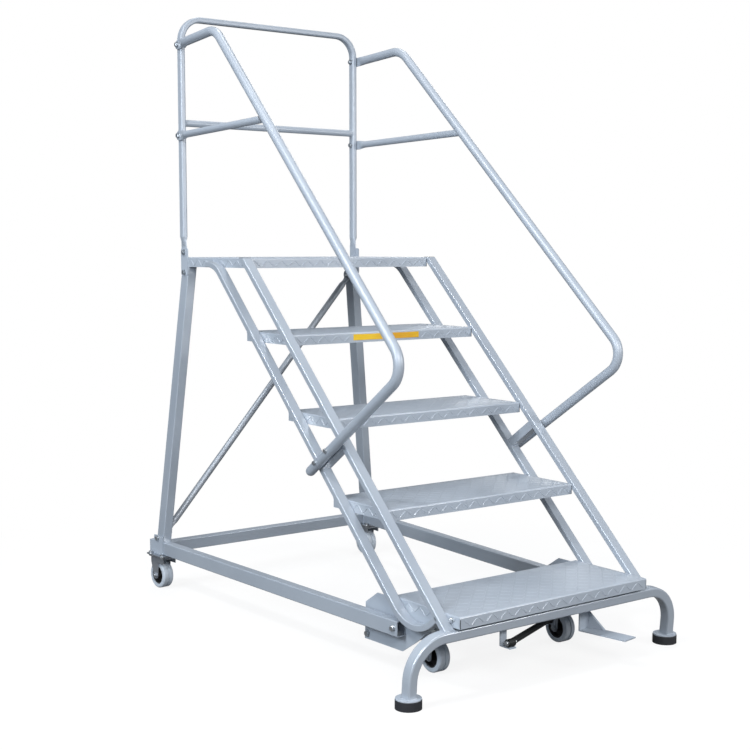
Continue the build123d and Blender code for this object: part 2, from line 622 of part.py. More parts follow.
def tyre():
    ring = Rot(0, 90, 0) * Cylinder(WHEEL_R, TYRE_W)
    ring = fillet(ring.edges().filter_by(GeomType.CIRCLE), TYRE_R)
    groove = Cylinder(WHEEL_R + GROOVE_DEPTH, GROOVE_W) - Cylinder(
        WHEEL_R - GROOVE_DEPTH, GROOVE_W)
    ring -= Rot(0, 90, 0) * groove
    return ring - Rot(0, 90, 0) * Cylinder(HUB_D / 2, TYRE_W)


def hub():
    rim = Cylinder(HUB_D / 2, HUB_W) - Cylinder(HUB_D / 2 - HUB_WEB / 2, HUB_W)
    disc_web = Cylinder(HUB_D / 2 - HUB_WEB / 2, HUB_WEB)
    core = Cylinder(HUB_BOSS_D / 2, BOSS_W)
    body = rim + disc_web + core - Cylinder(AXLE_D / 2 + AXLE_FIT, BOSS_W)
    return Rot(0, 90, 0) * body


# Fork with its axle bolt: cheeks from the crown down to the axle at the origin

def fork(front, rear, crown_z):
    """Axle bolt at the origin; the crown reaches from front to rear of it."""
    cheek = Plane.YZ * (Circle(FORK_TIP_R) + make_face(Polyline(
        (-FORK_TIP_R, 0), (FORK_TIP_R, 0), (rear, crown_z - FORK_APRON), (rear, crown_z),
        (-front, crown_z), (-front, crown_z - FORK_APRON), (-FORK_WAIST, crown_z - FORK_APRON),
        close=True)))
    cheeks = Pos(CHEEK_IN, 0, 0) * extrude(cheek, amount=FORK_T)
    cheeks += Pos(-CHEEK_OUT, 0, 0) * extrude(cheek, amount=FORK_T)
    crown = Pos(0, (rear - front) / 2, crown_z - FORK_T / 2) * Box(
        2 * CHEEK_OUT, rear + front, FORK_T)
    bolt = Rot(0, 90, 0) * Cylinder(AXLE_D / 2, 2 * (CHEEK_OUT + AXLE_HEAD_T) - 2)
    head_face = Plane.YZ * RegularPolygon(AXLE_HEAD_D / 2, 6)
    for start in (CHEEK_OUT, -CHEEK_OUT - AXLE_HEAD_T):
        bolt += Pos(start, 0, 0) * extrude(head_face, amount=AXLE_HEAD_T)
    return cheeks + crown + bolt


# Rear castors: fixed plate with kingpin, turning fork, wheel

plate_x, plate_y, plate_t = CASTOR_PLATE
plate_bottom = RAIL_BOTTOM - plate_t
crown_top = plate_bottom - SWIVEL_GAP - RACE_H
pin_low = crown_top - FORK_T - SWIVEL_GAP - KINGPIN_HEAD_H
pin_length = plate_bottom - pin_low
castor_plate = Pos(0, 0, plate_bottom + plate_t / 2) * Box(plate_x, plate_y, plate_t)
castor_plate = fillet(castor_plate.edges().filter_by(Axis.Z), plate_t * 2)
castor_plate += Pos(0, 0, pin_low + pin_length / 2) * Cylinder(KINGPIN_D / 2, pin_length)
castor_plate += Pos(0, 0, pin_low + KINGPIN_HEAD_H / 2) * Cylinder(
    KINGPIN_HEAD_D / 2, KINGPIN_HEAD_H)

castor_fork = Pos(0, CASTOR_TRAIL, WHEEL_R) * fork(
    CASTOR_FORK_FRONT, CASTOR_FORK_REAR, crown_top - WHEEL_R)
castor_fork += Pos(0, 0, crown_top + RACE_H / 2) * Cylinder(RACE_D / 2, RACE_H)
castor_fork -= Pos(0, 0, crown_top) * Cylinder(KINGPIN_D / 2 + KINGPIN_FIT, 4 * RACE_H)

castor_plates = []
for word, side in SIDES:
    swivel_x = rail_x(CASTOR_Y, word) + CASTOR_SHIFT[word]
    swivel = Pos(side * swivel_x, back(CASTOR_Y), 0)
    castor_plates.append(swivel * Rot(0, 0, -side * rail_turn(word)) * castor_plate)
    turned = swivel * Rot(0, 0, CASTOR_TURN[word])
    nodes[f"castor_fork_{word}"] = turned * castor_fork
    rear_wheel = turned * Pos(0, CASTOR_TRAIL, WHEEL_R)
    front_wheel = Pos(side * FRONT_WHEEL_X, back(FRONT_WHEEL_Y), WHEEL_R)
    for place, centre in (("rear", rear_wheel), ("front", front_wheel)):
        nodes[f"tyre_{place}_{word}"] = centre * tyre()
        nodes[f"hub_{place}_{word}"] = centre * hub()
nodes["castor_plates"] = Compound(children=castor_plates)


# Front wheels: fixed forks under a beam between the side plates

front_y = back(FRONT_WHEEL_Y)
beam_bottom = RAIL_BOTTOM - plate_t
beam_half = HALF_W - SIDE_PLATE_T
beam = Pos(0, front_y, beam_bottom + BEAM_Z / 2) * Box(2 * beam_half, BEAM_Y, BEAM_Z)
nodes["front_axle_beam"] = fillet(beam.edges().filter_by(Axis.X), RAIL_WALL)

fork_plate = Pos(FRONT_WHEEL_X, front_y, beam_bottom - FRONT_PLATE_T / 2) * Box(
    *FRONT_PLATE, FRONT_PLATE_T)
front_crown = beam_bottom - FRONT_PLATE_T - WHEEL_R
front_fork = Pos(FRONT_WHEEL_X, front_y, WHEEL_R) * fork(
    FRONT_FORK_REACH, FRONT_FORK_REACH, front_crown) + fork_plate
nodes["front_forks"] = both_sides(front_fork)


# Foot lever: pedal, upright, web, the arm that carries it from the beam and the stay's lug

upright = Pos(0, 0, (PEDAL_TOP + PEDAL_BOTTOM) / 2) * Box(
    PEDAL_W, PEDAL_T, PEDAL_TOP - PEDAL_BOTTOM)
tread_plate = Pos(0, -PEDAL_REACH / 2, PEDAL_BOTTOM + PEDAL_T / 2) * Box(
    PEDAL_W, PEDAL_REACH, PEDAL_T)
pedal_floor = PEDAL_BOTTOM + PEDAL_T
web = profile_yz(((0, pedal_floor), (-WEB_RUN, pedal_floor), (0, pedal_floor + WEB_RISE)),
                 PEDAL_W / 2 - WEB_T, PEDAL_W / 2)
arm_length = FRONT_WHEEL_Y - BOW_BACK
arm = Pos(0, arm_length / 2, PEDAL_TOP - 2 * ARM_T) * Box(ARM_W, arm_length, ARM_T)
lever = upright + tread_plate + web + arm
lever = Pos(PEDAL_X, NOSE_LINE_Y, 0) * Rot(0, 0, PEDAL_TURN) * lever
lever = split(lever, bisect_by=Plane.XZ.offset(-(front_y - BEAM_Y / 2)), keep=Keep.TOP)
lever = lever.solids().sort_by(SortBy.VOLUME)[-1]
stay_x, stay_back, stay_z = STAY_REAR
lug_low = stay_z - LUG_W / 2
lug_top = PEDAL_TOP - 2 * ARM_T
lug = Pos(stay_x + (STAY_EYE_D + LUG_T) / 2, back(stay_back), (lug_low + lug_top) / 2) * Box(
    LUG_T, LUG_W, lug_top - lug_low)
nodes["foot_lever"] = lever + lug

hanger_y = bow_bar_y + (BOW_Y - HANGER_T) / 2 - BOW_R
hanger_top = BOW_BOTTOM + BOW_R
hanger = Pos(HANGER_X, hanger_y, (HANGER_LOW + hanger_top) / 2) * Box(
    HANGER_W, HANGER_T, hanger_top - HANGER_LOW)
hanger += Pos(HANGER_X, hanger_y - HANGER_FOOT / 2, HANGER_LOW + HANGER_T / 2) * Box(
    HANGER_W, HANGER_FOOT, HANGER_T)
nodes["stay_hanger"] = hanger - front_bow

eye_front = Vector(HANGER_X, hanger_y - HANGER_FOOT + STAY_EYE_D / 2,
                   HANGER_LOW + HANGER_T + STAY_EYE_D / 2)
eye_rear = Vector(stay_x, back(stay_back), stay_z)
stay = rod_along(Line(eye_front, eye_rear), STAY_D)
for eye in (eye_front, eye_rear):
    stay += Pos(eye) * Rot(0, 90, 0) * Cylinder(STAY_EYE_D / 2, STAY_EYE_D)
nodes["lever_stay"] = stay


# Write one STEP file for each piece

for name, shape in nodes.items():
    export_step(shape, f"parts/{name}.step")
    print(name, round(shape.volume))
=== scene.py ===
import math
import bmesh
import bpy
from mathutils import Matrix, Vector


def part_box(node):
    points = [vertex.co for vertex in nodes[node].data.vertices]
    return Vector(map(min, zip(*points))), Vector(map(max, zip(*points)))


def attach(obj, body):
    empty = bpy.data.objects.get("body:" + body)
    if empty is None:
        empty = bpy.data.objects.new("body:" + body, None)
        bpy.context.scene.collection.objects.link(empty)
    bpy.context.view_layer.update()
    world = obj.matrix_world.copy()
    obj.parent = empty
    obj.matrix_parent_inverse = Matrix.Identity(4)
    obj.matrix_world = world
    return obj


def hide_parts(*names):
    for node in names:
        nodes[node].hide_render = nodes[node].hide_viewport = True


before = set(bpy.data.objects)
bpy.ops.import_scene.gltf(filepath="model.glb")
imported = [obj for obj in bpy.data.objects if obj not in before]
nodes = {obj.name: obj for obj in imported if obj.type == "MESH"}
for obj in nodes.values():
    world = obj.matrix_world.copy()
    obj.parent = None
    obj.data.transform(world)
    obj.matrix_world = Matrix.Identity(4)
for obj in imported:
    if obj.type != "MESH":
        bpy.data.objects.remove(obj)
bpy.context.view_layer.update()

# The camera stands to the left of the stair, at about chest height, and sees the
# platform from its front left.
CAMERA_AT = (-2.7756, -3.6292, 1.2827)
CAMERA_YAW = 36.67
CAMERA_DIP = 5.92
SENSOR_WIDTH, CAMERA_LENS = 36.0, 64.195
CAMERA_SHIFT = (-0.00244, 0.0160)
CAMERA_REACH = (0.1, 60.0)

camera_data = bpy.data.cameras.new("camera")
camera_data.sensor_width = SENSOR_WIDTH
camera_data.lens = CAMERA_LENS
camera_data.shift_x, camera_data.shift_y = CAMERA_SHIFT
camera_data.clip_start, camera_data.clip_end = CAMERA_REACH
camera = bpy.data.objects.new("camera", camera_data)
camera.location = CAMERA_AT
camera.rotation_euler = (math.radians(90 - CAMERA_DIP), 0, math.radians(-CAMERA_YAW))
bpy.context.scene.collection.objects.link(camera)
bpy.context.scene.camera = camera
bpy.context.scene.view_settings.view_transform = "Standard"


# The studio: a pale floor that keeps a faint contact shadow and fades to white, a
# surround that is bright above and dim at the horizon, and soft lamps all round.
FLOOR_SIZE = 40.0
FLOOR_WHITE = 0.95               # the floor as the camera sees it
FLOOR_GREY = 0.18                # what the floor sends back to the platform
FLOOR_SHADOW = 0.14              # share of the real shadow that the camera sees
FLOOR_SHADOW_REACH = (0.9, 2.2)
SURROUND_LOW = (0.22, 0.25, 0.29)
SURROUND_HIGH = (0.42, 0.44, 0.47)
SURROUND_RISE = 0.85             # upward share of a direction at which it is brightest
NEUTRAL, COOL = (1.0, 1.0, 1.0), (0.84, 0.92, 1.0)
LAMPS = (
    # place, aimed at, size, watts, colour
    ((-2.2, -4.4, 3.0), (0.0, -0.3, 0.7), 1.6, 132.0, NEUTRAL),
    ((2.4, -3.8, 2.1), (0.0, -0.4, 0.3), 1.1, 60.0, NEUTRAL),
    ((-4.6, -0.3, 6.6), (0.0, 0.0, 0.9), 0.9, 190.0, NEUTRAL),
    ((1.3, 2.0, 7.6), (0.0, 0.0, 0.9), 1.8, 95.0, NEUTRAL),
    ((-4.8, -0.9, 2.8), (0.0, 0.0, 0.6), 1.8, 150.0, COOL),
    ((3.0, 2.6, 3.2), (0.0, 0.3, 1.0), 1.6, 25.0, NEUTRAL),
)


def node_tools(owner):
    """Clear the nodes of a material or a world; returns how to add and how to link them."""
    owner.use_nodes = True
    tree = owner.node_tree
    tree.nodes.clear()
    return tree.nodes.new, tree.links.new


floor_material = bpy.data.materials.new("studio floor")
add, link = node_tools(floor_material)
output = add("ShaderNodeOutputMaterial")
seen_floor = add("ShaderNodeBsdfPrincipled")
seen_floor.inputs["Base Color"].default_value = (FLOOR_WHITE, FLOOR_WHITE, FLOOR_WHITE, 1)
seen_floor.inputs["Roughness"].default_value = 0.9
seen_floor.inputs["Specular IOR Level"].default_value = 0.0
bounce_floor = add("ShaderNodeBsdfDiffuse")
bounce_floor.inputs["Color"].default_value = (FLOOR_GREY, FLOOR_GREY, FLOOR_GREY, 1)
white = add("ShaderNodeEmission")
white.inputs["Color"].default_value = (1, 1, 1, 1)
white.inputs["Strength"].default_value = 1.0
place = add("ShaderNodeTexCoord")
away = add("ShaderNodeVectorMath")
away.operation = "LENGTH"
link(place.outputs["Object"], away.inputs[0])
fade = add("ShaderNodeMapRange")
fade.interpolation_type = "SMOOTHSTEP"
fade.inputs["From Min"].default_value, fade.inputs["From Max"].default_value = FLOOR_SHADOW_REACH
fade.inputs["To Min"].default_value = 1.0 - FLOOR_SHADOW
link(away.outputs["Value"], fade.inputs["Value"])
faded = add("ShaderNodeMixShader")
link(fade.outputs["Result"], faded.inputs["Fac"])
link(seen_floor.outputs["BSDF"], faded.inputs[1])
link(white.outputs["Emission"], faded.inputs[2])
rays = add("ShaderNodeLightPath")
mix = add("ShaderNodeMixShader")
link(rays.outputs["Is Camera Ray"], mix.inputs["Fac"])
link(bounce_floor.outputs["BSDF"], mix.inputs[1])
link(faded.outputs["Shader"], mix.inputs[2])
link(mix.outputs["Shader"], output.inputs["Surface"])

mesh = bpy.data.meshes.new("studio_floor")
shape = bmesh.new()
bmesh.ops.create_grid(shape, x_segments=1, y_segments=1, size=FLOOR_SIZE / 2)
shape.to_mesh(mesh)
shape.free()
floor = bpy.data.objects.new("studio_floor", mesh)
floor.data.materials.append(floor_material)
bpy.context.scene.collection.objects.link(floor)

world = bpy.data.worlds.new("studio surround")
bpy.context.scene.world = world
add, link = node_tools(world)
output = add("ShaderNodeOutputWorld")
place = add("ShaderNodeTexCoord")
height = add("ShaderNodeSeparateXYZ")
link(place.outputs["Generated"], height.inputs["Vector"])
rise = add("ShaderNodeMapRange")
rise.interpolation_type = "SMOOTHSTEP"
rise.inputs["From Min"].default_value = 0.0
rise.inputs["From Max"].default_value = SURROUND_RISE
link(height.outputs["Z"], rise.inputs["Value"])
tone = add("ShaderNodeMix")
tone.data_type = "RGBA"
tone.inputs["A"].default_value = (*SURROUND_LOW, 1)
tone.inputs["B"].default_value = (*SURROUND_HIGH, 1)
link(rise.outputs["Result"], tone.inputs["Factor"])
soft = add("ShaderNodeBackground")
link(tone.outputs["Result"], soft.inputs["Color"])
white = add("ShaderNodeBackground")
white.inputs["Color"].default_value = (1, 1, 1, 1)
rays = add("ShaderNodeLightPath")
seen = add("ShaderNodeMath")
seen.operation = "MAXIMUM"
link(rays.outputs["Is Camera Ray"], seen.inputs[0])
link(rays.outputs["Is Transmission Ray"], seen.inputs[1])
mix = add("ShaderNodeMixShader")
link(seen.outputs[0], mix.inputs["Fac"])
link(soft.outputs["Background"], mix.inputs[1])
link(white.outputs["Background"], mix.inputs[2])
link(mix.outputs["Shader"], output.inputs["Surface"])

for number, (place_at, aim, size, watts, lamp_colour) in enumerate(LAMPS, 1):
    lamp_data = bpy.data.lights.new(f"soft_lamp_{number}", "AREA")
    lamp_data.shape = "DISK"
    lamp_data.size = size
    lamp_data.energy = watts
    lamp_data.color = lamp_colour
    lamp = bpy.data.objects.new(f"soft_lamp_{number}", lamp_data)
    lamp.location = place_at
    lamp.rotation_euler = (Vector(aim) - Vector(place_at)).to_track_quat("-Z", "Y").to_euler()
    bpy.context.scene.collection.objects.link(lamp)


# Base: side rails, a cross rail welded between them and the front axle's beam, all of steel
# tube, with plates for the front bow and for the rear legs. Like the rest of the platform it
# is powder coated in a pale bluish grey, with fine orange peel and faint handling marks.
BASE_TUBES = ("base_rail_left", "base_rail_right", "base_cross_rail", "front_axle_beam")
BASE_PLATES = ("side_plates", "corner_plates")
COAT_COLOUR = (0.400, 0.447, 0.507)
COAT_SHADE = (0.350, 0.395, 0.455)   # the darker tone that the colour drifts towards
PEEL_SCALE, PEEL_HEIGHT, PEEL_STRENGTH = 260.0, 0.000002, 0.5
MARKS = 0.10                         # how much rougher a handling mark is
TOP_COAT_IOR = 1.8
SIDE_PLATE_BOLTS = ((0.386, -0.3717, 0.0975), (0.386, -0.7003, 0.183))
RAIL_BOLT = (0.4206, -0.5463, 0.160)
FLANGE_BOLT = (0.3855, -0.7757, 0.2304)
M10 = (0.016, 0.0064, 0.021)         # across flats, head, washer
M8 = (0.013, 0.0053, 0.017)
WASHER_THICK, WASHER_EDGE = 0.0016, 0.0003
HEAD_CHAMFER = 0.12                  # share of the head's height
THREAD = (0.29, 0.26)                # radius at foot and end, as shares of the flats
CROSS_RAIL_ENDS = ((-0.4383, 0.8363, 0.8803), (0.4800, 0.8363, 0.8803))
CROSS_RAIL_Z = (0.135, 0.176)
SEAM = 0.0022                        # radius of a bead of weld
RIPPLE_STEP, RIPPLE_LOW = 0.55, 0.82  # ripple to hollow and the hollow's radius, by the bead's


def socket(group, name, direction, kind, value=None):
    made = group.interface.new_socket(name=name, in_out=direction, socket_type=kind)
    if value is not None:
        made.default_value = value


# shared effect: a sprayed coat's colour drift, handling marks and fine orange peel
coat_group = bpy.data.node_groups.new("sprayed coat", "ShaderNodeTree")
for name, value in (("Colour", (0.5, 0.5, 0.5, 1)), ("Shade", (0.4, 0.4, 0.4, 1))):
    socket(coat_group, name, "INPUT", "NodeSocketColor", value)
for name, value in (("Drift Scale", 3.0), ("Peel Scale", PEEL_SCALE), ("Roughness", 0.42),
                    ("Marks", MARKS)):
    socket(coat_group, name, "INPUT", "NodeSocketFloat", value)
socket(coat_group, "Colour", "OUTPUT", "NodeSocketColor")
socket(coat_group, "Roughness", "OUTPUT", "NodeSocketFloat")
socket(coat_group, "Height", "OUTPUT", "NodeSocketFloat")
add, link = coat_group.nodes.new, coat_group.links.new
given, made = add("NodeGroupInput"), add("NodeGroupOutput")
place = add("ShaderNodeTexCoord")
drift = add("ShaderNodeTexNoise")
drift.inputs["Detail"].default_value = 4.0
link(place.outputs["Object"], drift.inputs["Vector"])
link(given.outputs["Drift Scale"], drift.inputs["Scale"])
drift_range = add("ShaderNodeMapRange")
drift_range.inputs["From Min"].default_value = 0.35
drift_range.inputs["From Max"].default_value = 0.68
link(drift.outputs["Fac"], drift_range.inputs["Value"])
colour = add("ShaderNodeMix")
colour.data_type = "RGBA"
link(drift_range.outputs["Result"], colour.inputs["Factor"])
link(given.outputs["Colour"], colour.inputs["A"])
link(given.outputs["Shade"], colour.inputs["B"])
link(colour.outputs["Result"], made.inputs["Colour"])
marks = add("ShaderNodeTexNoise")
marks.inputs["Scale"].default_value = 38.0
marks.inputs["Detail"].default_value = 6.0
marks.inputs["Distortion"].default_value = 1.4
link(place.outputs["Object"], marks.inputs["Vector"])
marks_range = add("ShaderNodeMapRange")
marks_range.inputs["From Min"].default_value = 0.42
marks_range.inputs["From Max"].default_value = 0.72
link(marks.outputs["Fac"], marks_range.inputs["Value"])
marked = add("ShaderNodeMath")
marked.operation = "MULTIPLY_ADD"
link(marks_range.outputs["Result"], marked.inputs[0])
link(given.outputs["Marks"], marked.inputs[1])
link(given.outputs["Roughness"], marked.inputs[2])
link(marked.outputs[0], made.inputs["Roughness"])
peel = add("ShaderNodeTexNoise")
peel.inputs["Detail"].default_value = 2.0
link(place.outputs["Object"], peel.inputs["Vector"])
link(given.outputs["Peel Scale"], peel.inputs["Scale"])
link(peel.outputs["Fac"], made.inputs["Height"])


def coated(name, colour, shade, roughness, metallic=0.0, drift=3.0, gloss=0.0, gloss_blur=0.24):
    """A material with the sprayed coat's effect; gloss is the share of a clear top coat."""
    material = bpy.data.materials.new(name)
    add, link = node_tools(material)
    output = add("ShaderNodeOutputMaterial")
    surface = add("ShaderNodeBsdfPrincipled")
    group = add("ShaderNodeGroup")
    group.node_tree = coat_group
    group.inputs["Colour"].default_value = (*colour, 1)
    group.inputs["Shade"].default_value = (*shade, 1)
    group.inputs["Drift Scale"].default_value = drift
    group.inputs["Roughness"].default_value = roughness
    grain = add("ShaderNodeBump")
    grain.inputs["Strength"].default_value = PEEL_STRENGTH
    grain.inputs["Distance"].default_value = PEEL_HEIGHT
    link(group.outputs["Height"], grain.inputs["Height"])
    link(grain.outputs["Normal"], surface.inputs["Normal"])
    link(group.outputs["Colour"], surface.inputs["Base Color"])
    link(group.outputs["Roughness"], surface.inputs["Roughness"])
    surface.inputs["Metallic"].default_value = metallic
    surface.inputs["Coat Weight"].default_value = gloss
    surface.inputs["Coat Roughness"].default_value = gloss_blur
    surface.inputs["Coat IOR"].default_value = TOP_COAT_IOR
    link(surface.outputs["BSDF"], output.inputs["Surface"])
    return material


def finish_nodes(names, material):
    for name in names:
        nodes[name].data.materials.clear()
        nodes[name].data.materials.append(material)


def new_piece(name, shape, material, body="frame"):
    """A new object made from a bmesh, faces outward, which moves with a body."""
    bmesh.ops.recalc_face_normals(shape, faces=shape.faces[:])
    mesh = bpy.data.meshes.new(name)
    shape.to_mesh(mesh)
    shape.free()
    mesh.materials.append(material)
    piece = bpy.data.objects.new(name, mesh)
    bpy.context.scene.collection.objects.link(piece)
    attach(piece, body)
    return piece


def facing(point, direction):
    """Matrix that puts the origin at a point with Z along a direction."""
    turned = Vector(direction).to_track_quat("Z", "Y").to_matrix().to_4x4()
    return Matrix.Translation(point) @ turned


def hex_head(shape, place, across_flats, height, washer, shank=0.0):
    """Hexagon head on a washer, with a stub of thread above it when it is a nut."""
    bmesh.ops.create_cone(shape, cap_ends=True, segments=24, radius1=washer / 2,
                          radius2=washer / 2 - WASHER_EDGE, depth=WASHER_THICK,
                          matrix=place @ Matrix.Translation((0, 0, WASHER_THICK / 2)))
    corner = across_flats / math.sqrt(3)
    head = bmesh.ops.create_cone(
        shape, cap_ends=True, segments=6, radius1=corner, radius2=corner, depth=height,
        matrix=place @ Matrix.Translation((0, 0, WASHER_THICK + height / 2)))
    edges = {edge for vert in head["verts"] for edge in vert.link_edges}
    bmesh.ops.bevel(shape, geom=list(edges), offset=height * HEAD_CHAMFER, affect="EDGES",
                    segments=1, profile=0.5, material=-1)
    if shank:
        top = WASHER_THICK + height
        foot, end = (across_flats * share for share in THREAD)
        bmesh.ops.create_cone(shape, cap_ends=True, segments=14, radius1=foot, radius2=end,
                              depth=shank,
                              matrix=place @ Matrix.Translation((0, 0, top + shank / 2)))


def parts_of(geometry, kind):
    return [part for part in geometry if isinstance(part, kind)]


def weld_bead(shape, points, closed=False):
    """Rippled bead of weld: a ring that is drawn out along a chain of straight runs."""
    path = [Vector(point) for point in points]
    if closed:
        path.append(path[0])
    stations = []
    for start, end in zip(path, path[1:]):
        count = max(2, round((end - start).length / (SEAM * RIPPLE_STEP)))
        stations += [(start.lerp(end, step / count), end - start) for step in range(count)]
    if not closed:
        stations.append((path[-1], path[-1] - path[-2]))
    places = [facing(middle, along) @ Matrix.Scale(SEAM * (1.0 if step % 2 else RIPPLE_LOW), 4)
              for step, (middle, along) in enumerate(stations)]
    ring = bmesh.ops.create_circle(shape, segments=8, radius=1.0, matrix=places[0])["verts"]
    first = last = list({edge for vert in ring for edge in vert.link_edges})
    for before, after in zip(places, places[1:]):
        grown = bmesh.ops.extrude_edge_only(shape, edges=last)["geom"]
        last = parts_of(grown, bmesh.types.BMEdge)
        bmesh.ops.transform(shape, matrix=after @ before.inverted(),
                            verts=parts_of(grown, bmesh.types.BMVert))
    if closed:
        bmesh.ops.bridge_loops(shape, edges=first + last)
    else:
        bmesh.ops.edgeloop_fill(shape, edges=first + last)


tube_coat = coated("grey powder coat on tube", COAT_COLOUR, COAT_SHADE, 0.34, gloss=0.9,
                   metallic=0.15)
finish_nodes(BASE_TUBES, tube_coat)
plate_coat = coated("grey powder coat on plate", COAT_COLOUR, COAT_SHADE, 0.40, gloss=0.2)
finish_nodes(BASE_PLATES, plate_coat)
zinc = coated("bright zinc", (0.62, 0.64, 0.66), (0.50, 0.53, 0.56), 0.28, metallic=1.0, drift=14.0)

shape = bmesh.new()
for side in (-1, 1):
    for x, y, z in (*SIDE_PLATE_BOLTS, RAIL_BOLT):
        hex_head(shape, facing((side * x, y, z), (side, 0, 0)), *M10)
    x, y, z = FLANGE_BOLT
    hex_head(shape, facing((side * x, y, z), (side, 0, 0)), *M8)
new_piece("base_bolts", shape, zinc)

shape = bmesh.new()
low, high = CROSS_RAIL_Z
for x, front, rear in CROSS_RAIL_ENDS:
    weld_bead(shape, ((x, front, low), (x, front, high), (x, rear, high), (x, rear, low)))
new_piece("cross_rail_welds", shape, tube_coat).data.shade_smooth()


# Wheels: bright plates bolted under the rear rails carry swivelling forks of dull pressed
# sheet, and the front forks are fixed. Pale grey tyres sit on black moulded hubs, which
# turn on through bolts with a collar and a stub of thread at each end.
CASTORS = (
    # body, x of the kingpin, turn of the plate, turn of the fork
    ("swivel_left", -0.4481, 2.1, 4.0),
    ("swivel_right", 0.5112, -3.8, -4.0),
)
KINGPIN_Y, TRAIL, WHEEL_R = 0.8397, 0.024, 0.050
PLATE_TOP, PLATE_THICK = 0.135, 0.004
PLATE_BOLT_X, PLATE_BOLT_Y = 0.038, 0.042
FRONT_AXLE_X, FRONT_AXLE_Y = 0.264, -0.5533
AXLE_HALF = 0.0335
AXLE_COLLAR, AXLE_STUB = (0.0072, 0.0012), (0.0052, 0.0034)   # radius, length
AXLE_TAPER = 0.92

finish_nodes(("castor_plates",), zinc)
dull_zinc = coated("dull zinc sheet", (0.50, 0.52, 0.55), (0.36, 0.39, 0.43), 0.42, metallic=0.9,
                   drift=14.0)
finish_nodes(("front_forks", "castor_fork_left", "castor_fork_right"), dull_zinc)
pale_rubber = coated("grey rubber", (0.56, 0.61, 0.67), (0.48, 0.53, 0.59), 0.45)
finish_nodes([name for name in nodes if name.startswith("tyre_")], pale_rubber)
black_plastic = coated("black moulding", (0.012, 0.012, 0.013), (0.02, 0.02, 0.02), 0.45)
finish_nodes([name for name in nodes if name.startswith("hub_")], black_plastic)

shape = bmesh.new()
for body, x, plate_turn, fork_turn in CASTORS:
    about = Matrix.Translation((x, KINGPIN_Y, 0)) @ Matrix.Rotation(
        math.radians(plate_turn), 4, "Z")
    for sx in (-1, 1):
        for sy in (-1, 1):
            at = about @ Vector((sx * PLATE_BOLT_X, sy * PLATE_BOLT_Y, PLATE_TOP))
            hex_head(shape, facing(at, (0, 0, 1)), *M8)
            hex_head(shape, facing(at - Vector((0, 0, PLATE_THICK)), (0, 0, -1)), *M8, shank=0.002)
new_piece("castor_bolts", shape, zinc)


def axle_ends(shape, place):
    """Collar and stub of thread on both ends of an axle bolt along the place's X."""
    for way in (-1, 1):
        end = place @ Matrix.Translation((way * AXLE_HALF, 0, 0)) @ Matrix.Rotation(
            way * math.pi / 2, 4, "Y")
        for radius, length in (AXLE_COLLAR, AXLE_STUB):
            bmesh.ops.create_cone(shape, cap_ends=True, segments=16, radius1=radius,
                                  radius2=radius * AXLE_TAPER, depth=length,
                                  matrix=end @ Matrix.Translation((0, 0, length / 2)))


shape = bmesh.new()
for side in (-1, 1):
    axle_ends(shape, Matrix.Translation((side * FRONT_AXLE_X, FRONT_AXLE_Y, WHEEL_R)))
new_piece("front_axle_ends", shape, zinc)
for body, x, plate_turn, fork_turn in CASTORS:
    shape = bmesh.new()
    swivel = Matrix.Translation((x, KINGPIN_Y, WHEEL_R)) @ Matrix.Rotation(
        math.radians(fork_turn), 4, "Z")
    axle_ends(shape, swivel @ Matrix.Translation((0, TRAIL, 0)))
    new_piece(f"axle_ends_{body}", shape, zinc, body)


# Rear frame: each leg is a tube bolted to the ear of its corner plate. The diagonal is a
# zinc-plated tube whose squashed ends are bolted to the legs' inner sides.
REAR_FRAME_BOLTS = (
    # place, way that the head faces along X: the ears, then the diagonal's ends
    ((-0.4765, 0.8427, 0.1950), -1), ((0.5177, 0.8427, 0.1950), 1),
    ((-0.4292, 0.8391, 0.215), 1), ((0.3492, 0.7738, 1.178), -1),
)

finish_nodes(("rear_leg_left", "rear_leg_right"), tube_coat)
satin_zinc = coated("satin zinc tube", (0.42, 0.45, 0.49), (0.34, 0.37, 0.41), 0.44, metallic=0.4,
                    drift=14.0)
finish_nodes(("rear_diagonal",), satin_zinc)

shape = bmesh.new()
for at, way in REAR_FRAME_BOLTS:
    hex_head(shape, facing(at, (way, 0, 0)), *M10)
new_piece("rear_frame_bolts", shape, zinc)


# Front bow: one tube of rounded rectangular section, bent down at both ends and welded on
# two discs over black rubber pads. The feet of the front stringers are welded on its top.
STRINGER_IN, STRINGER_OUT = 0.385, 0.420
BOW_TOP = 0.204
FOOT_REAR, FOOT_FRONT = -0.7640, -0.7895
BOW_LEG_X, BOW_LEG_Y, DISC_TOP = 0.534, -0.7686, 0.031
BOW_LEG_HALF_X, BOW_LEG_HALF_Y = 0.0155, 0.0185

finish_nodes(("front_bow",), tube_coat)
finish_nodes(("foot_discs",), plate_coat)
pad_rubber = coated("black rubber", (0.018, 0.019, 0.024), (0.026, 0.027, 0.03), 0.5)
finish_nodes(("foot_pads",), pad_rubber)

shape = bmesh.new()
for side in (-1, 1):
    inner, outer = side * STRINGER_IN, side * STRINGER_OUT
    weld_bead(shape, ((outer, FOOT_FRONT, BOW_TOP), (outer, FOOT_REAR, BOW_TOP),
                      (inner, FOOT_REAR, BOW_TOP), (inner, FOOT_FRONT, BOW_TOP)))
    weld_bead(shape, ((inner, FOOT_FRONT, BOW_TOP), (outer, FOOT_FRONT, BOW_TOP)))
    corners = [(side * BOW_LEG_X + sx * BOW_LEG_HALF_X, BOW_LEG_Y + sy * BOW_LEG_HALF_Y, DISC_TOP)
               for sx, sy in ((-1, -1), (1, -1), (1, 1), (-1, 1))]
    weld_bead(shape, corners, closed=True)
new_piece("bow_welds", shape, tube_coat).data.shade_smooth()


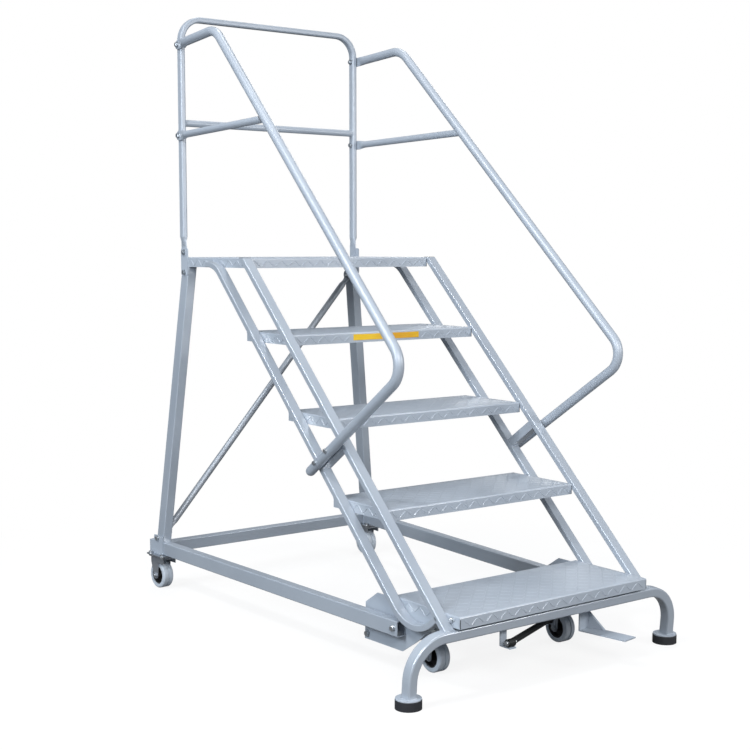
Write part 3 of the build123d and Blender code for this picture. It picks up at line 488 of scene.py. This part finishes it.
# Stringers: two pairs of rectangular tube. The front ones end at the deck, with thin black
# plates laid on their cut ends, and each rear one is bent twice: a short level tail on the
# deck's side, the slope, and a hook that runs up into the front stringer.
STRINGER_TOP = (0.2953, 0.3241, 1.250)   # front and rear of the front stringers' cut ends
END_PLATE_GAP, END_PLATE_THICK = 0.002, 0.0012
TUBE_X, TUBE_T, TUBE_CORNER = 0.035, 0.020, 0.0035
REAR_STRINGER = ((0.5560, 1.2260), (0.4960, 1.2260), (-0.6316, 0.13725), (-0.7456, 0.2329))
REAR_BENDS = (0.110, 0.130)
CORNER_STEPS, BEND_STEPS = 3, 12

finish_nodes(("stringer_front_left", "stringer_front_right", "stringer_rear_left",
              "stringer_rear_right"), tube_coat)

# thin black plates laid on the front stringers' cut ends, a little inside their edges
front, rear, top = STRINGER_TOP
shape = bmesh.new()
for side in (-1, 1):
    middle = Vector((side * (STRINGER_IN + STRINGER_OUT) / 2, (front + rear) / 2,
                     top + END_PLATE_THICK / 2))
    size = (STRINGER_OUT - STRINGER_IN - 2 * END_PLATE_GAP, rear - front - 2 * END_PLATE_GAP, END_PLATE_THICK)
    bmesh.ops.create_cube(shape, matrix=Matrix.Translation(middle) @ Matrix.Diagonal((*size, 1)))
new_piece("stringer_end_plates", shape, black_plastic)


def bent_path(points, bends):
    """Points along straight runs joined by arcs of the given radii."""
    points = [Vector(point) for point in points]
    path = [points[0]]
    for before, corner, after, bend in zip(points, points[1:], points[2:], bends):
        back, on = (before - corner).normalized(), (after - corner).normalized()
        half = back.angle(on) / 2
        centre = corner + (back + on).normalized() * bend / math.sin(half)
        first = corner + back * bend / math.tan(half) - centre
        swing, axis = math.pi - 2 * half, back.cross(first)
        path += [centre + Matrix.Rotation(swing * step / BEND_STEPS, 3, axis) @ first
                 for step in range(BEND_STEPS + 1)]
    return path + [points[-1]]


def swept(shape, path, sections, across):
    """Skin through one ring of points for each place of the path, closed at its ends.
    Returns for each place the two directions that the section's pairs are counted along."""
    rings, frames = [], []
    for number, (middle, section) in enumerate(zip(path, sections)):
        run = path[min(number + 1, len(path) - 1)] - path[max(number - 1, 0)]
        out = run.normalized().cross(across)
        frames.append((across, out))
        rings.append([shape.verts.new(middle + across * u + out * v) for u, v in section])
    count = len(rings[0])
    for low, high in zip(rings, rings[1:]):
        for turn in range(count):
            after = (turn + 1) % count
            shape.faces.new((low[turn], low[after], high[after], high[turn]))
    for ring in (rings[0][::-1], rings[-1]):
        shape.faces.new([shape.verts.new(vert.co) for vert in ring])
    return frames


section, outward = [], []
for quarter, (su, sv) in enumerate(((1, 1), (-1, 1), (-1, -1), (1, -1))):
    for step in range(CORNER_STEPS + 1):
        turn = (quarter + step / CORNER_STEPS) * math.pi / 2
        way = (math.cos(turn), math.sin(turn))
        outward.append(way)
        section.append((su * (TUBE_X / 2 - TUBE_CORNER) + TUBE_CORNER * way[0],
                        sv * (TUBE_T / 2 - TUBE_CORNER) + TUBE_CORNER * way[1]))
for side, name in ((-1, "left"), (1, "right")):
    middle = side * (STRINGER_IN + STRINGER_OUT) / 2
    path = bent_path([(middle, y, z) for y, z in REAR_STRINGER], REAR_BENDS)
    shape = bmesh.new()
    frames = swept(shape, path, [section] * len(path), Vector((1, 0, 0)))
    normals = [across * u + out * v for across, out in frames for u, v in outward]
    for end, inner in ((path[0], path[1]), (path[-1], path[-2])):
        normals += [(end - inner).normalized()] * len(section)
    piece = new_piece(f"rear_stringer_{name}", shape, tube_coat)
    piece.data.shade_smooth()
    piece.data.normals_split_custom_set_from_vertices(normals)
    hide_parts(f"stringer_rear_{name}")


# Treads and deck: checker plate with its edges folded down, set between the stringers.
# The rolled bars stand proud of the top and of the folded edges in the usual pattern, each
# bar at a right angle to its neighbours, and the folds meet with a slit at the front corners;
# the shade inside each slit is painted on as a thin near-black strip.
CHECKER_SHEETS = (
    # node, width of the border that the rows of bars keep free
    ("tread_1", 0.012), ("tread_2", 0.012), ("tread_3", 0.012), ("tread_4", 0.012),
    ("platform_deck", 0.014),
)
BAR_PITCH = 0.0276
BAR_LENGTH = 0.0320
BAR_WIDTH = 0.0050
BAR_CREST = (0.80, 0.44)         # share of a bar's length and width that its crest has
BAR_TURN = 41
BAR_ROOM = 0.6                   # share of its length that a turned bar takes across the rows
TOP_BAR_RISE = 0.0004            # worn lower on the walking face than on the edges
EDGE_BAR_RISE = 0.0013
EDGE_BAR_LENGTH = 0.03136
EDGE_ROW = 0.0190                # below the top
EDGE_MARGIN = 0.012
LABEL_HALF = 0.141
SLIT_IN = 0.0012                 # from the ends of the front edge
SLIT_SIZE = (0.0014, 0.0008)
SLIT_TOP, SLIT_FOOT = 0.0065, 0.0005   # from the sheet's top and from its lower edge

checker_coat = coated("grey powder coat on checker plate", COAT_COLOUR, COAT_SHADE, 0.34, gloss=0.6)
finish_nodes([node for node, margin in CHECKER_SHEETS], checker_coat)


def raised_bar(shape, place, length, rise):
    """One lozenge of checker plate along X, drawn up along Z to a narrower crest."""
    outline = Matrix.Rotation(math.pi / 2, 4, "Z") @ Matrix.Diagonal(
        (BAR_WIDTH / math.sqrt(3), length / 2, 1, 1))
    lozenge = bmesh.ops.create_circle(shape, cap_ends=True, segments=6, radius=1.0,
                                      matrix=place @ outline)
    crest = bmesh.ops.extrude_face_region(shape, geom=lozenge["verts"][0].link_faces[:])
    drawn_up = Matrix.Translation((0, 0, rise)) @ Matrix.Diagonal((*BAR_CREST, 1, 1))
    bmesh.ops.transform(shape, matrix=place @ drawn_up @ place.inverted(),
                        verts=parts_of(crest["geom"], bmesh.types.BMVert))


def bar_field(shape, origin, across, up, width, rows, length, rise, bare=0.0):
    """Rows of bars on a flat face with its middle at origin; rows are offsets along up.
    The middle of the face stays bare for a given distance to either side."""
    across, up = Vector(across), Vector(up)
    out = across.cross(up)
    base = Matrix((across, up, out)).transposed().to_4x4()
    count = int((width - length) / BAR_PITCH)
    for row, offset in enumerate(rows):
        for step in range(count + 1):
            reach = (step - count / 2) * BAR_PITCH
            if abs(reach) < bare:
                continue
            middle = Vector(origin) + across * reach + up * offset
            turn = math.radians(BAR_TURN if (row + step) % 2 else -BAR_TURN)
            place = Matrix.Translation(middle) @ base @ Matrix.Rotation(turn, 4, "Z")
            raised_bar(shape, place, length, rise)


for node, margin in CHECKER_SHEETS:
    (x0, y0, z0), (x1, y1, z1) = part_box(node)
    width, depth, middle_y = x1 - x0, y1 - y0, (y0 + y1) / 2
    shape = bmesh.new()
    count = int((depth - 2 * margin - BAR_LENGTH * BAR_ROOM) / BAR_PITCH)
    rows = [(row - count / 2) * BAR_PITCH for row in range(count + 1)]
    bar_field(shape, (0, middle_y, z1), (1, 0, 0), (0, 1, 0), width - margin, rows,
              BAR_LENGTH, TOP_BAR_RISE)
    for origin, across, span in (((0, y0, z1), (1, 0, 0), width), ((0, y1, z1), (-1, 0, 0), width),
                                 ((x0, middle_y, z1), (0, -1, 0), depth),
                                 ((x1, middle_y, z1), (0, 1, 0), depth)):
        labelled = node == "tread_4" and origin[1] == y0
        bar_field(shape, origin, across, (0, 0, 1), span - EDGE_MARGIN, (-EDGE_ROW,),
                  EDGE_BAR_LENGTH, EDGE_BAR_RISE,
                  bare=LABEL_HALF + EDGE_BAR_LENGTH / 2 if labelled else 0.0)
    new_piece(f"checker_bars_{node}", shape, checker_coat)

# painted shade: thin near-black strips on the front faces stand in for the shade inside the slits
# where the folds meet
painted_slit_shade = coated("painted slit shade", (0.02, 0.022, 0.025), (0.03, 0.032, 0.035), 0.8)
shape = bmesh.new()
for node, margin in CHECKER_SHEETS:
    (x0, y0, z0), (x1, y1, z1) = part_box(node)
    low, high = z0 + SLIT_FOOT, z1 - SLIT_TOP
    for x in (x0 + SLIT_IN, x1 - SLIT_IN):
        bmesh.ops.create_cube(shape, matrix=Matrix.Translation((x, y0, (low + high) / 2))
                              @ Matrix.Diagonal((*SLIT_SIZE, high - low, 1)))
new_piece("painted_fold_slit_shade", shape, painted_slit_shade)

# a strip of yellow film on the top tread's front edge
yellow_film = coated("yellow film", (0.80, 0.50, 0.012), (0.68, 0.33, 0.008), 0.35, drift=9.0)
finish_nodes(("label_strip",), yellow_film)


# Guard hoop: round tube with squashed feet, bolted through the deck's edge and a bracket,
# and a mid rail welded in. A bolt through each post holds the handrail, another the side
# brace. The finish on round tube is a little softer than on the rest.
POST_Y, POST_OUT, POST_IN = 0.7743, 0.4000, 0.3740
POST_BOLT_Z = (2.017, 1.692)
BRACKET_OUT, BRACKET_Y = 0.3890, 0.7643
BRACKET_BOLT_Z = (1.268, 1.195)
MID_RAIL_Z, MID_WELD_R = 1.738, 0.013

round_coat = coated("grey powder coat on round tube", COAT_COLOUR, COAT_SHADE, 0.42, gloss=0.6,
                    gloss_blur=0.36, metallic=0.10)
finish_nodes(("guard_hoop", "hoop_mid_rail"), round_coat)
finish_nodes(("post_brackets",), plate_coat)


def ring_points(centre, radius, count=20):
    """Points of a circle round a centre, which faces along X."""
    turns = [math.tau * step / count for step in range(count)]
    return [Vector(centre) + Vector((0, math.cos(turn), math.sin(turn))) * radius for turn in turns]


shape = bmesh.new()
welds = bmesh.new()
for side in (-1, 1):
    for z in BRACKET_BOLT_Z:
        hex_head(shape, facing((side * BRACKET_OUT, BRACKET_Y, z), (side, 0, 0)), *M10)
    for z in POST_BOLT_Z:
        hex_head(shape, facing((side * POST_OUT, POST_Y, z), (side, 0, 0)), *M10)
        hex_head(shape, facing((side * POST_IN, POST_Y, z), (-side, 0, 0)), *M10, shank=0.003)
    weld_bead(welds, ring_points((side * POST_IN, POST_Y, MID_RAIL_Z), MID_WELD_R), closed=True)
new_piece("hoop_bolts", shape, zinc)
new_piece("hoop_welds", welds, round_coat).data.shade_smooth()


# Handrails: each is one round tube, squashed to a bolted tab at the post. It runs level,
# bends down the slope in a plane that splays outward, turns back at the knee and ends in a
# dome beside the stringers, where two bolts hold it to the spacers of a flat block.
HANDRAIL_R = 0.016
HEAD_X, HEAD_Y, HEAD_Z, SPLAY = 0.3975, 0.7743, 2.017, 0.0426
HANDRAILS = (
    # side, corner of the crest and of the knee as y and z
    ("left", -1, (0.4807, 2.0340), (-0.6603, 0.9400)),
    ("right", 1, (0.4957, 2.0340), (-0.6475, 0.9310)),
)
HANDRAIL_TIP = (-0.1363, 0.5790)
HANDRAIL_BENDS = (0.110, 0.070)
TAB_T, TAB_W, TAB_REACH, TAB_SQUASH = 0.005, 0.034, 0.024, 0.035
TAB_SQUARENESS = 0.3
TAB_ROUNDING = (8, 30, 55, 90)
SQUASH_STEPS = 8
TIP_ROUNDING = (20, 40, 60, 80)
SECTION_POINTS = 32
BLOCK_BOLTS = ((0.4411, -0.2483, 0.6590), (0.4383, -0.1833, 0.6126))
BOLT_SINK = 0.0006

finish_nodes(("handrail_left", "handrail_right", "side_braces"), round_coat)
finish_nodes(("handrail_blocks",), tube_coat)

shape = bmesh.new()
for side in (-1, 1):
    for x, y, z in BLOCK_BOLTS:
        hex_head(shape, facing((side * (x + HANDRAIL_R - BOLT_SINK), y, z), (side, 0, 0)), *M8)
new_piece("handrail_bolts", shape, zinc)


def flattened(half_t, half_w, squareness):
    """Section between a flat tab and a round tube; squareness 1 is round."""
    turns = [math.tau * step / SECTION_POINTS for step in range(SECTION_POINTS)]
    return [(half_t * math.copysign(abs(math.cos(turn)) ** squareness, math.cos(turn)),
             half_w * math.copysign(abs(math.sin(turn)) ** squareness, math.sin(turn)))
            for turn in turns]


for name, side, crest, knee in HANDRAILS:
    corners = [Vector((side * (HEAD_X + SPLAY * (HEAD_Y - y)), y, z))
               for y, z in ((HEAD_Y, HEAD_Z), crest, knee, HANDRAIL_TIP)]
    head, tip = corners[0], corners[-1]
    along, fall = (corners[1] - head).normalized(), (tip - corners[2]).normalized()
    path, sections = [], []
    for turn in TAB_ROUNDING:
        angle = math.radians(turn)
        path.append(head - along * TAB_W / 2 * math.cos(angle))
        sections.append(flattened(TAB_T / 2, TAB_W / 2 * math.sin(angle), TAB_SQUARENESS))
    for step in range(SQUASH_STEPS + 1):
        share = step / SQUASH_STEPS
        eased = share * share * (3 - 2 * share)
        path.append(head + along * (TAB_REACH + TAB_SQUASH * share))
        sections.append(flattened(TAB_T / 2 + (HANDRAIL_R - TAB_T / 2) * eased,
                                  TAB_W / 2 + (HANDRAIL_R - TAB_W / 2) * eased,
                                  TAB_SQUARENESS + (1 - TAB_SQUARENESS) * eased))
    tube = bent_path([path[-1]] + corners[1:], HANDRAIL_BENDS)[1:]
    path += tube
    sections += [flattened(HANDRAIL_R, HANDRAIL_R, 1)] * len(tube)
    for turn in TIP_ROUNDING:
        angle = math.radians(turn)
        path.append(tip + fall * HANDRAIL_R * math.sin(angle))
        sections.append(flattened(*[HANDRAIL_R * math.cos(angle)] * 2, 1))
    shape = bmesh.new()
    swept(shape, path, sections, Vector((1, side * SPLAY, 0)).normalized())
    piece = new_piece(f"bent_handrail_{name}", shape, round_coat)
    piece.data.shade_smooth()
    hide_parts(f"handrail_{name}")


# Foot lever: a welded plate lever with a pedal, which lifts the front wheels. A black rod
# stays it, with one eye bolted to its lug and the other to a hanger under the bow.
STAY_EYES = ((-0.184, -0.8028, 0.135), (0.168, -0.5943, 0.096))
EYE_HALF = 0.012
LUG_OUT = 0.016

finish_nodes(("foot_lever", "stay_hanger"), plate_coat)
black_paint = coated("black paint", (0.003, 0.003, 0.003), (0.006, 0.006, 0.006), 0.6)
finish_nodes(("lever_stay",), black_paint)

shape = bmesh.new()
for (x, y, z), right in zip(STAY_EYES, (EYE_HALF, LUG_OUT)):
    hex_head(shape, facing((x - EYE_HALF, y, z), (-1, 0, 0)), *M8)
    hex_head(shape, facing((x + right, y, z), (1, 0, 0)), *M8, shank=0.003)
new_piece("stay_bolts", shape, zinc)
